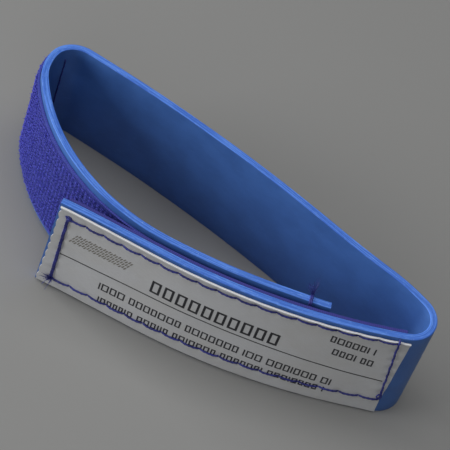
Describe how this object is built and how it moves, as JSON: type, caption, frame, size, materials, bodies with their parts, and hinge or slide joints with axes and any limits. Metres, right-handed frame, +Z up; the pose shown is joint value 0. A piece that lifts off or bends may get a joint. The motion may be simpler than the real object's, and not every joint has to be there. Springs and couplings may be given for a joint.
{
  "type": "tourniquet strap",
  "caption": "Flat rubber strap closed into a loop by a sewn hook tape and loop tape, with a woven label stitched to its tab, for tightening round an arm.",
  "frame": {"origin": "centre of the closed loop's bounding box in plan, on the plane of the strap's lower edge", "axes": "+X along the loop's length towards the right bend, +Y from the labelled tab towards the back of the loop, +Z up across the strap's width"},
  "size_m": [0.0942, 0.0466, 0.0254],
  "materials": {
    "rubber": "smooth calendered blue rubber with a dull sheen and brighter cut edges",
    "loop_pile": "napped violet-blue loop pile",
    "hook_tape": "woven violet-blue tape set with small stiff hooks",
    "label": "fine woven grey-white satin label",
    "thread": "twisted dark blue sewing thread"
  },
  "bodies": {
    "band": {"strap_back": "rubber"},
    "arm": {"strap_arm": "rubber", "loop_tape": "loop_pile", "tape_needle_thread_inner_end": "thread", "tape_bobbin_thread_inner_end": "thread", "tape_needle_thread_far_end": "thread", "tape_bobbin_thread_far_end": "thread"},
    "bend_1": {"strap_bend_1": "rubber"},
    "bend_2": {"strap_bend_2": "rubber"},
    "bend_3": {"strap_bend_3": "rubber"},
    "tab": {"strap_tab": "rubber", "hook_tape": "hook_tape", "label": "label", "label_needle_thread": "thread", "label_bobbin_thread": "thread"}
  },
  "joints": [
    {"name": "peel_1", "type": "hinge", "parent": "band", "child": "bend_1", "pos_m": [0.04561, -0.00821, 0.0127], "axis": [0, 0, 1], "range_deg": [0, 32.5]},
    {"name": "peel_2", "type": "hinge", "parent": "bend_1", "child": "bend_2", "pos_m": [0.04701, -0.01137, 0.0127], "axis": [0, 0, 1], "range_deg": [0, 32.5]},
    {"name": "peel_3", "type": "hinge", "parent": "bend_2", "child": "bend_3", "pos_m": [0.04646, -0.01478, 0.0127], "axis": [0, 0, 1], "range_deg": [0, 32.5]},
    {"name": "peel_4", "type": "hinge", "parent": "bend_3", "child": "tab", "pos_m": [0.04414, -0.01735, 0.0127], "axis": [0, 0, 1], "range_deg": [0, 32.5]},
    {"name": "arm_opening", "type": "hinge", "parent": "band", "child": "arm", "pos_m": [-0.04188, 0.02287, 0.0127], "axis": [0, 0, -1], "range_deg": [0, 32.5]}
  ],
  "couplings": [
    {"joint": "peel_2", "follows": "peel_1", "ratio": 1},
    {"joint": "peel_3", "follows": "peel_1", "ratio": 1},
    {"joint": "peel_4", "follows": "peel_1", "ratio": 1},
    {"joint": "arm_opening", "follows": "peel_1", "ratio": 1}
  ]
}
